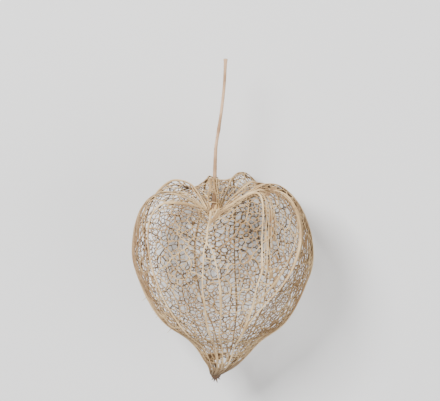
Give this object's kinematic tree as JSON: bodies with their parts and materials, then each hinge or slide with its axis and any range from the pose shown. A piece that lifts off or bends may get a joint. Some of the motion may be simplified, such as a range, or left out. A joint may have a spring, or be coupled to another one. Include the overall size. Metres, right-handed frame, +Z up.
{
  "type": "physalis lantern skeleton",
  "caption": "Dried husk of a physalis weathered to its ribs and net of veins, heart-shaped and hollow, lying on its side with its thin stalk.",
  "frame": {"origin": "centre of the underside of the bounding box, on the surface that the lantern lies on", "axes": "+Y along the lantern's axis from the tip towards the stalk, +X across it, +Z up"},
  "size_m": [0.0468, 0.0832, 0.0445],
  "materials": {
    "husk": "dry papery veins, cream on the ribs and tan to brown in the net",
    "stalk": "dry, matte, finely grooved along its length"
  },
  "bodies": {
    "root": {"lantern_net": "husk", "stalk": "stalk"}
  },
  "joints": []
}
